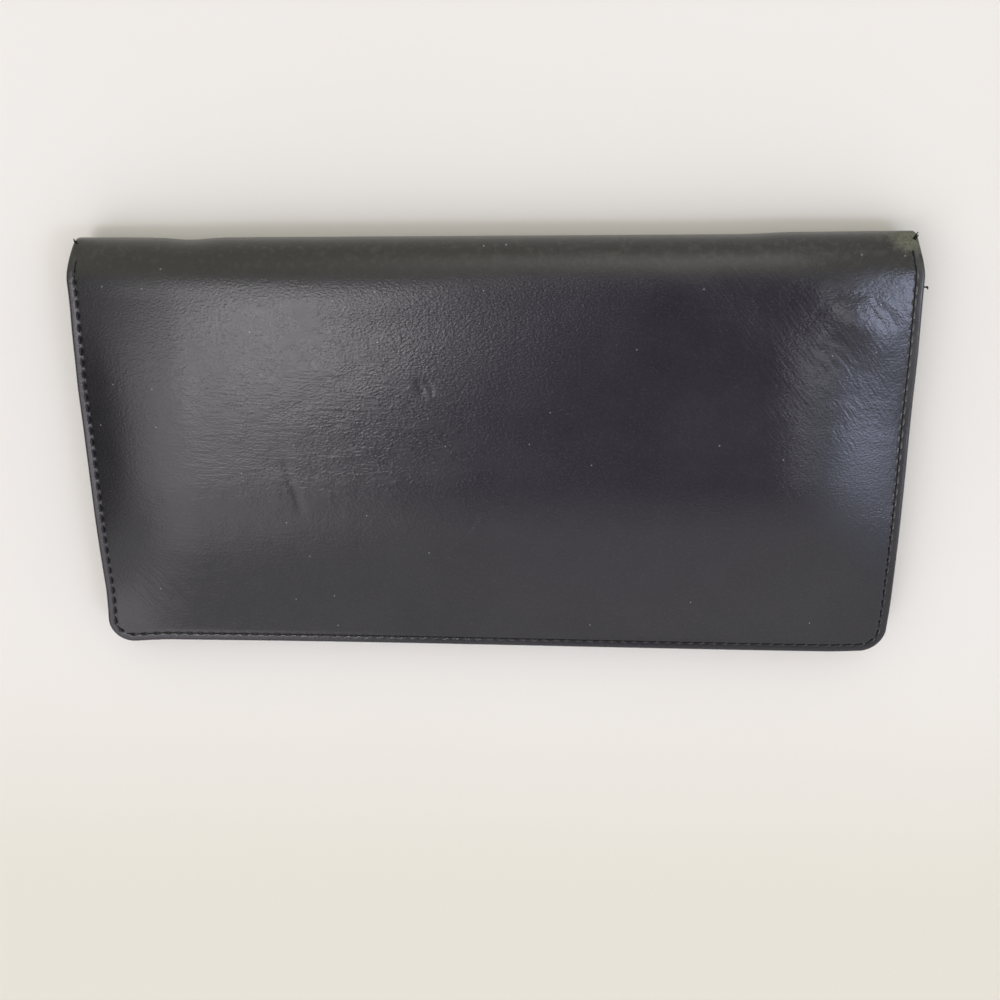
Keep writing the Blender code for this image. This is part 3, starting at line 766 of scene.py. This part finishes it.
def sewing_tree():
    """Geometry Nodes that lay one arched stitch on each step of a path, upright on the path's 'up'."""
    tree = bpy.data.node_groups.new("sew along a path", "GeometryNodeTree")
    sockets = {"Path": "Geometry", "Stitches": "Int", "Stitch length": "Float", "Thread": "Float"}
    for name, kind in {**sockets, "Arch": "Float", "Finish": "Material"}.items():
        tree.interface.new_socket(name, in_out="INPUT", socket_type="NodeSocket" + kind)
    tree.interface.new_socket("Seam", in_out="OUTPUT", socket_type="NodeSocketGeometry")
    given = tree.nodes.new("NodeGroupInput").outputs

    def step(kind, inputs, **settings):
        return add_node(tree, kind, inputs, **settings).outputs

    curve = step("GeometryNodeMeshToCurve", {0: given["Path"]})[0]
    points = step("GeometryNodeCurveToPoints", {"Curve": curve, "Count": given["Stitches"]}, mode="COUNT")
    up = step("GeometryNodeInputNamedAttribute", {"Name": "up"}, data_type="FLOAT_VECTOR")["Attribute"]
    level = step("FunctionNodeAlignRotationToVector", {"Vector": points["Tangent"]}, axis="X")[0]
    turn = {"Rotation": level, "Vector": up}
    upright = step("FunctionNodeAlignRotationToVector", turn, axis="Z", pivot_axis="X")[0]
    half = times(given["Stitch length"], 0.5)
    start = step("ShaderNodeCombineXYZ", {"X": times(half, -1.0)})[0]
    middle = step("ShaderNodeCombineXYZ", {"Z": times(given["Arch"], 2.0)})[0]
    end = step("ShaderNodeCombineXYZ", {"X": half})[0]
    arch = {"Resolution": 6, "Start": start, "Middle": middle, "End": end}
    arc = step("GeometryNodeCurveQuadraticBezier", arch)[0]
    radius = times(given["Thread"], 0.5)
    ring = step("GeometryNodeCurvePrimitiveCircle", {"Resolution": 8, "Radius": radius})[0]
    stitch = step("GeometryNodeCurveToMesh", {0: arc, 1: ring, "Fill Caps": True})[0]
    row = {"Points": points["Points"], "Instance": stitch, "Rotation": upright}
    placed = step("GeometryNodeInstanceOnPoints", row)[0]
    real = step("GeometryNodeRealizeInstances", {0: placed})[0]
    smoothed = step("GeometryNodeSetShadeSmooth", {0: real})[0]
    dyed = step("GeometryNodeSetMaterial", {"Geometry": smoothed, "Material": given["Finish"]})[0]
    feed(tree.nodes.new("NodeGroupOutput"), {0: dyed})
    return tree


SEW = sewing_tree()
STITCH_LENGTH = 0.0021
STITCH_ARCH = 0.00010
THREAD = 0.00038


def sew(name, path, ups, count):
    """Sews stitches along a path, one in the middle of each of count even steps, as a plain mesh."""
    path = np.array(path)
    ups = np.array(ups)
    run = run_along(path)
    half_step = run[-1] / count / 2
    inside = (run > half_step) & (run < run[-1] - half_step)
    marks = np.concatenate([[half_step], run[inside], [run[-1] - half_step]])
    path, ups = (np.stack([np.interp(marks, run, part[:, k]) for k in range(3)], -1) for part in (path, ups))
    line = new_piece(name + "_path", path.tolist(), [(k, k + 1) for k in range(len(path) - 1)], [])
    upright = line.data.attributes.new("up", "FLOAT_VECTOR", "POINT")
    upright.data.foreach_set("vector", ups.astype(np.float32).ravel())
    modifier = line.modifiers.new("sew", "NODES")
    modifier.node_group = SEW
    given = {"Stitches": count, "Stitch length": STITCH_LENGTH, "Thread": THREAD}
    given |= {"Arch": STITCH_ARCH, "Finish": thread_finish}
    for item in SEW.interface.items_tree:
        if item.name in given:
            modifier[item.identifier] = given[item.name]
    evaluated = line.evaluated_get(bpy.context.evaluated_depsgraph_get())
    sewn = bpy.data.meshes.new_from_object(evaluated)
    bpy.data.objects.remove(line)
    return new_object(name, sewn)


FLUSH = 0.00021  # the stitches' middle line lies this far inside the leather's face


def seam_path(is_front):
    """Points along a seam and its upright directions, from the fold down one side, round and up the other."""
    level, top = (front_level, 1) if is_front else (rim_lift, -1)
    dense = np.linspace(0.0, top * math.pi / 2, 400)
    seam_x = np.full(400, SEAM_X)
    line = fold_points(seam_x, dense, FLUSH)
    ups = fold_points(seam_x, dense, 0.0) - fold_points(seam_x, dense, 0.001)
    on_seam = run_along(line[::-1])[::-1] <= SEAM_ON_FOLD
    line, ups = line[on_seam], ups[on_seam] * 1000
    side = [(SEAM_X, y) for y in np.linspace(FOLD_START, CORNER_Y, 60)[1:]]
    turns = np.linspace(0, math.pi / 2, 10)[1:-1]
    corner = [(CORNER_X + SEAM_RADIUS * math.cos(t), CORNER_Y - SEAM_RADIUS * math.sin(t)) for t in turns]
    foot = [(x, CORNER_Y - SEAM_RADIUS) for x in np.linspace(CORNER_X, 0, 60)]
    plan = np.array(side + corner + foot)
    x, y = np.concatenate([plan, plan[::-1][1:] * [-1, 1]]).T
    flat = face(x, y, level(x, y) - top * FLUSH)
    other = fold_points(-seam_x, dense, FLUSH)[on_seam][::-1]
    return np.concatenate([line, flat, other]), np.concatenate([ups, [(0, 0, top)] * len(flat), ups[::-1]])


front_stitches = sew("front_stitches", *seam_path(True), STITCH_COUNT)
bend_with_front(front_stitches)
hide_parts("front_seam_thread")
back_stitches = sew("back_stitches", *seam_path(False), STITCH_COUNT)
bend_with_back(back_stitches)
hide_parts("back_seam_thread")


def strand(points, radius):
    """The corners and faces of a thin closed tube, rounded off between some points."""
    path = np.array(points)
    for _ in range(2):
        a, b = path[:-1], path[1:]
        middle = np.stack([0.75 * a + 0.25 * b, 0.25 * a + 0.75 * b], 1).reshape(-1, 3)
        path = np.concatenate([path[:1], middle, path[-1:]])
    along = np.gradient(path, axis=0)
    along /= np.linalg.norm(along, axis=1, keepdims=True)
    side = np.cross(along, (0.3, 0.2, 0.93))
    side /= np.linalg.norm(side, axis=1, keepdims=True)
    up = np.cross(side, along)
    turn = np.arange(6) * math.pi / 3
    thick = radius * (1 - 0.5 * smooth(np.linspace(0, 1, len(path)), 0.6, 1.0))[:, None, None]
    ring = np.cos(turn)[None, :, None] * side[:, None] + np.sin(turn)[None, :, None] * up[:, None]
    corners = (path[:, None] + thick * ring).reshape(-1, 3)
    faces = [list(range(5, -1, -1)), [len(corners) - 6 + k for k in range(6)]]
    for i in range(len(path) - 1):
        for k in range(6):
            a, b = 6 * i + k, 6 * i + (k + 1) % 6
            faces.append([a, b, b + 6, a + 6])
    return corners, faces


def loose_ends(name, radius, *strands):
    """A few frayed ends of thread, each from its root to its end with a bend between."""
    corners, faces = [], []
    chance = np.random.default_rng(5)
    for root, end in np.array(strands):
        bend = (root + end) / 2 + chance.normal(0, 0.00025, 3)
        more, sides = strand([root, root * 0.6 + bend * 0.4, bend, end], radius)
        start = sum(len(part) for part in corners)
        faces += [[start + corner for corner in around] for around in sides]
        corners.append(more)
    made = new_piece(name, np.concatenate(corners).tolist(), [], faces)
    finish_mesh(made, thread_finish)
    bend_with_front(made)


loose_ends(
    "frayed_right_corner",
    0.00022,
    ((0.0921, 0.0483, 0.0102), (0.0931, 0.0501, 0.0105)),
    ((0.0923, 0.0481, 0.0104), (0.0932, 0.0495, 0.0106)),
)
loose_ends(
    "frayed_left_corner",
    0.00018,
    ((-0.0918, 0.0484, 0.0092), (-0.0926, 0.0496, 0.0093)),
    ((-0.0919, 0.0483, 0.0089), (-0.0928, 0.0490, 0.0090)),
)
loose_ends(
    "stray_thread",
    0.00022,
    ((0.0942, 0.0396, 0.0122), (0.0957, 0.0384, 0.0120)),
    ((0.0955, 0.0385, 0.0120), (0.0959, 0.0380, 0.0119)),
)


# Stiffening boards
#
# Grey millboard, 0.5 mm thick, glued to the inside of each cover under its lining. It can't be seen.

BOARD = 0.0005
BOARD_GLUE = 0.00015
BOARD_END = FOLD_START - 0.0032
board_finish, tree, shader = new_material("grey millboard")
place = add_node(tree, "ShaderNodeTexCoord").outputs["Object"]
pulp = ramp(noise(place, 700.0, 4.0), 0.35, 0.65)
board_colour = mix(pulp, (0.24, 0.215, 0.175), (0.34, 0.31, 0.26))
feed(shader, {"Base Color": board_colour, "Roughness": 0.9})


def board_piece(name, inset, low, node, body):
    """One board: low(x, y) is the height of its lower face, and inset how far it stays inside the seams."""
    near = inset + mm(0.0, 0.5, 1.5, 3.0, 5.0, 8.0, 11.0, 15.0)
    xs = lines(-SIDE + near, np.linspace(-0.06, 0.06, 7), SIDE - near)
    ys = lines(OUTER_EDGE + near, np.linspace(-0.010, BOARD_END, 8))
    x, y = np.meshgrid(xs, ys, indexing="ij")
    foot = low(x, y)
    board = skin(name, np.stack([x, y, foot + BOARD], -1), np.stack([x, y, foot], -1), skip=1)
    finish_mesh(board, board_finish)
    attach(board, body)
    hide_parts(node)


def on_front_leather(x, y):
    """The lower face of the front board."""
    return front_level(x, y) - LEATHER - BOARD_GLUE - BOARD


def on_back_leather(x, y):
    """The lower face of the back board."""
    return rim_lift(x, y) + LEATHER + BOARD_GLUE


board_piece("front_stiffener", 0.017, on_front_leather, "front_board", "front_half")
board_piece("back_stiffener", 0.0105, on_back_leather, "back_board", "back_half")


# Linings
#
# Thin black cotton, glued to the inside of the outer leather and caught under its turned edge. It is one
# piece on the real wallet, and is cut here at the middle of the fold, as the leather is.

LINING = 0.0003
LINING_DEPTH = 0.00105  # how deep it lies inside the leather's outer face
BOARD_BULGE = 0.00105  # how much a board lifts the lining
WEAVE = 0.0007

lining_cloth, tree, shader = new_material("black lining cotton")
place = add_node(tree, "ShaderNodeAttribute", attribute_name="place").outputs["Vector"]
warp, weft = (calc("SINE", times(part, 2 * math.pi / WEAVE)) for part in parts_of(place)[:2])
weave = times(warp, weft)
slubs = noise(place, 900.0, 2.0, stretch=(5.0, 0.7, 1.0))
faded = ramp(noise(place, 60.0, 3.0), 0.45, 0.75, 0.0, 0.4)
cloth_colour = mix(ramp(weave, -1.0, 1.0), (0.012, 0.012, 0.013), (0.022, 0.022, 0.024))
cloth_colour = mix(times(slubs, 0.4), cloth_colour, (0.030, 0.030, 0.032))
cloth_colour = mix(faded, cloth_colour, (0.034, 0.032, 0.031))
cloth_normal = relief(plus(weave, slubs), 0.5, 0.00008)
feed(shader, {"Base Color": cloth_colour, "Roughness": 0.9, "Normal": cloth_normal})
shader.inputs["Sheen Weight"].default_value = 0.15


def over_board(x, y, start, end):
    """1 where a lining lies over its board and 0 beside it, stepping up between those two insets."""
    on = smooth(from_edge(x, y), start, end)
    return on * (1 - smooth(y, BOARD_END + 0.0003, BOARD_END + 0.0029))


near = mm(4.4, 5.0, 6.0, 7.5, 9.0, 11.0, 13.0, 15.0, 17.0)
lining_xs = lines(-SIDE + near, np.linspace(-0.0755, 0.0755, 42), SIDE - near)
lining_ys = lines(OUTER_EDGE + near, np.linspace(-0.031, 0.033, 33), np.linspace(BOARD_END, FOLD_START, 8))
LINING_STEP = 0.0009  # round the fold


def lining_piece(name, over, is_front):
    """One half of the lining: over(x, y) is the height of its side towards the leather."""
    xs = lining_xs if is_front else lining_xs[::-1]
    x, y = plan_grid(xs, lining_ys)
    high = over(x, y)
    rays, _ = fold_rays(is_front, LINING_STEP)
    fold_x, ray = np.meshgrid(xs, rays, indexing="ij")
    outer = np.concatenate([face(x, y, high), fold_points(fold_x, ray, LINING_DEPTH)], 1)
    inner = face(x, y, high + (-LINING if is_front else LINING))
    inner = np.concatenate([inner, fold_points(fold_x, ray, LINING_DEPTH + LINING)], 1)
    piece = skin(name, outer, inner, skip=1)
    finish_mesh(piece, lining_cloth)
    return piece


def under_front_cover(x, y):
    """The upper face of the front lining."""
    return front_level(x, y) - LINING_DEPTH - BOARD_BULGE * over_board(x, y, 0.012, 0.017)


def on_back_cover(x, y):
    """The lower face of the back lining."""
    return LINING_DEPTH + np.maximum(rim_lift(x, y), BOARD_BULGE * over_board(x, y, 0.0055, 0.0098))


front_lining = lining_piece("front_lining_cloth", under_front_cover, True)
bend_with_front(front_lining)
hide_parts("front_lining", "fold_lining")
back_lining = lining_piece("back_lining_cloth", on_back_cover, False)
bend_with_back(back_lining)
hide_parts("back_lining", "fold_lining")


# Bill compartment walls
#
# Thinner black leather, sewn into the seam on three sides, with a line creased into it below its mouth. The
# mouth is open to the fold.

PANEL = 0.0007
PANEL_INSET = 0.0008
PANEL_EDGE = 0.00033
MOUTH = 0.036
SEWN_GAP = 0.00028  # what closes up between two layers at the seam
inner_leather = leather_material("black inner leather", (0.016, 0.016, 0.017), 0.36)


def at_seam(x, y):
    """1 where the seam presses the layers together and 0 away from it."""
    return 1 - smooth(from_edge(x, y), 0.004, 0.009)


def creased(mouth, y):
    """Depth of the line that is creased along a mouth."""
    return 0.00013 * bell(mouth - 0.0017 - y, 0.00022)


def inner_sheet(name, mouth, low, high, material, faces_up):
    """A full-length inner sheet from the seam up to its mouth, between two heights."""
    near = mm(0.8, 0.83, 0.9, 1.0, 1.15, 1.5, 1.8, 2.0, 2.2, 2.6, 3.5, 4.5, 5.4, 6.0, 7.2, 8.4, 10.0)
    xs = lines(-SIDE + near, np.linspace(-0.080, 0.080, 33), SIDE - near)
    down = mm(0, 0.03, 0.1, 0.2, 0.35, 0.7, 1.2, 1.4, 1.55, 1.7, 1.85, 2.0, 2.3, 3.2, 4.5)
    ys = lines(OUTER_EDGE + near, np.arange(OUTER_EDGE + 0.012, mouth - 0.006, 0.003), mouth - down)
    x, y = plan_grid(xs if faces_up else xs[::-1], ys)
    inset = from_edge(x, y)
    fall = edge_fall(np.minimum(inset - PANEL_INSET, mouth - y), PANEL_EDGE)
    mark = creased(mouth, y) + 0.00012 * bell(inset - STITCH_INSET, 0.0004)
    wave = 0.00012 * np.sin(x / 0.019 + mouth * 90) * smooth(inset, 0.006, 0.03)
    over = high(x, y) - fall + wave - (mark if faces_up else 0)
    under = low(x, y) + fall + wave + (0 if faces_up else mark)
    outer, inner = (over, under) if faces_up else (under, over)
    piece = skin(name, face(x, y, outer), face(x, y, inner))
    finish_mesh(piece, material)
    return piece


def pressed(x, y):
    """How far the seam presses down the margins of what lies on the back cover."""
    return 0.0003 * (1 - smooth(from_edge(x, y), RIM, 0.010))


BACK_WALL_Z = 0.0030


def back_wall_low(x, y):
    """The lower face of the back half's wall."""
    return BACK_WALL_Z - pressed(x, y) - SEWN_GAP * at_seam(x, y)


def back_wall_high(x, y):
    """The upper face of the back half's wall."""
    return BACK_WALL_Z + PANEL - pressed(x, y)


back_wall = inner_sheet("back_bill_wall", MOUTH, back_wall_low, back_wall_high, inner_leather, True)
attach(back_wall, "back_half")
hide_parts("back_bill_panel")


def margin_lift(x, y):
    """How far the front cover lifts the margins sewn to it, which rise to the fold but droop at its ends."""
    return (CROWN - crown(y)) * (1 - smooth(from_edge(x, y), 0.004, 0.022)) - droop(x, y)


def front_sheet(name, mouth, level, thick, material):
    """A sheet on the inside of the front half, its lower face at that level and following the cover."""

    def low(x, y):
        return level - sink(y) + margin_lift(x, y)

    def high(x, y):
        return low(x, y) + thick + SEWN_GAP * at_seam(x, y)

    return inner_sheet(name, mouth, low, high, material, False)


front_wall = front_sheet("front_bill_wall", MOUTH, 0.0087, PANEL, inner_leather)
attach(front_wall, "front_half")
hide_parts("front_bill_panel")


# Slip pockets
#
# Two full-width pockets of thin leather on the inner face of the front half, the shorter on the taller one.

POCKET = 0.0006
pocket_leather = leather_material("black pocket leather", (0.018, 0.017, 0.018), 0.38)

for name, depth, level, node in (
    ("tall_slip_pocket", 0.068, 0.0078, "slip_pocket_tall"),
    ("short_slip_pocket", 0.042, 0.0069, "slip_pocket_short"),
):
    pocket = front_sheet(name, OUTER_EDGE + depth, level, POCKET, pocket_leather)
    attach(pocket, "front_half")
    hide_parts(node)


# Card slots
#
# Two columns of four T-shaped pockets. Each has a strip of leather across its mouth and a thinner, narrower
# backing below that. The last slot, on top of the others, is leather down to the outer edge.

SLOT_Z = 0.0040
SLOT_RISE = 0.0006
SLOT_STEP = 0.012
SLOT_DEPTH = 0.043
FIRST_MOUTH = OUTER_EDGE + 0.080
BACKING = 0.0003
STRIP_EDGE = 0.00028
FROM_DIVIDER = 0.00008  # each strip ends this far from the middle line of the divider
BACKING_INNER = 0.0035
BACKING_OUTER = SIDE - 0.0045


def slot_foot(row):
    """The height at which a slot ends."""
    return max(FIRST_MOUTH - row * SLOT_STEP - SLOT_DEPTH, OUTER_EDGE + 0.0011)


def slot_level(row, x, y):
    """The lower face of a slot: it climbs over the slots below it, except where they are sewn down."""
    layers = 0 * x
    for below in range(row):
        layers = layers + smooth(y, slot_foot(below) - 0.0025, slot_foot(below) - 0.0003)
    free = smooth(np.abs(x), 0.0011, BACKING_INNER)
    free = free * (1 - smooth(np.abs(x), BACKING_OUTER, SIDE - RIM))
    return SLOT_Z - pressed(x, y) + SLOT_RISE * layers * free


def strip_mesh(name, row, side, xs, ys):
    """The leather strip of a card slot, with its edges rounded, between its first and last line."""
    x, y = plan_grid(np.sort(side * xs), ys)
    inset = from_edge(x, y)
    ends = np.minimum(SIDE - PANEL_INSET - np.abs(x), np.abs(x) - FROM_DIVIDER)
    inside = np.minimum(np.minimum(ends, ys[-1] - y), np.minimum(y - ys[0], inset - PANEL_INSET))
    fall = edge_fall(inside, STRIP_EDGE)
    low = slot_level(row, x, y)
    divider = 0.00010 * bell(np.abs(x) - 0.0003, 0.0006)
    seam = 0.00010 * bell(inset - STITCH_INSET, 0.0004)
    over = low + POCKET - fall - creased(ys[-1], y) - divider - seam
    under = low + fall - SEWN_GAP * at_seam(x, y)
    return skin(name, face(x, y, over), face(x, y, under), skip=1)


def backing_mesh(name, row, side, xs, ys):
    """The thin backing of a card slot, below its strip."""
    x, y = plan_grid(np.sort(side * xs), ys)
    low = slot_level(row, x, y)
    return skin(name, face(x, y, low + BACKING), face(x, y, low + 0.00002), skip=1)


def between(values, low, high):
    """The values that lie from low to high."""
    return values[(values >= low - 1e-9) & (values <= high + 1e-9)]


def card_slot(name, row, side, node):
    """A card slot: its strip, with the backing joined to it below."""
    mouth = FIRST_MOUTH - row * SLOT_STEP
    foot = slot_foot(row)
    last = row == 3
    strip_foot = foot if last else mouth - SLOT_STEP + 0.0004
    near = mm(0.8, 0.83, 0.9, 1.05, 1.5, 1.8, 2.0, 2.2, 2.6, 3.2, 3.7, 4.2, 4.5, 5.4, 6.0, 7.5, 9.0)
    middle = mm(0.08, 0.11, 0.2, 0.35, 0.7, 1.1, 1.7, 2.3, 2.9, 3.5)
    xs = lines(middle, np.linspace(0.006, 0.082, 20), SIDE - near)
    down = mm(0, 0.03, 0.1, 0.2, 0.3, 0.7, 1.2, 1.4, 1.55, 1.7, 1.85, 2.0, 2.3, 3.2, 4.5)
    end = strip_foot + mm(0, 0.03, 0.1, 0.2, 0.3)
    climbs = [slot_foot(below) - np.linspace(0.0003, 0.0025, 6) for below in range(row)]
    ys = lines(mouth - down, end, np.linspace(strip_foot, mouth, 6)[1:-1], *climbs, OUTER_EDGE + near)
    piece = strip_mesh(name, row, side, xs, between(ys, strip_foot, mouth))
    if not last:
        xs = between(xs, BACKING_INNER, BACKING_OUTER)
        ys = between(lines(np.linspace(foot, strip_foot + 0.0006, 12), *climbs), foot, strip_foot + 0.0006)
        backing = backing_mesh(name + "_backing", row, side, xs, ys)
        with bpy.context.temp_override(active_object=piece, selected_editable_objects=[piece, backing]):
            bpy.ops.object.join()
    finish_mesh(piece, pocket_leather)
    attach(piece, "back_half")
    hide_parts(node)


for side, word in ((-1, "left"), (1, "right")):
    for row in range(4):
        card_slot(f"card_pocket_{word}_{row + 1}", row, side, f"card_slot_{word}_{row + 1}")

divider_y = np.linspace(slot_foot(3) + 0.001, FIRST_MOUTH - 0.0005, 60)
divider_path = np.column_stack([0 * divider_y, divider_y, 0 * divider_y + SLOT_Z + POCKET - 0.0001])
divider = sew("divider_stitches", divider_path, [(0, 0, 1)] * 60, 28)
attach(divider, "back_half")
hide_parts("divider_thread")
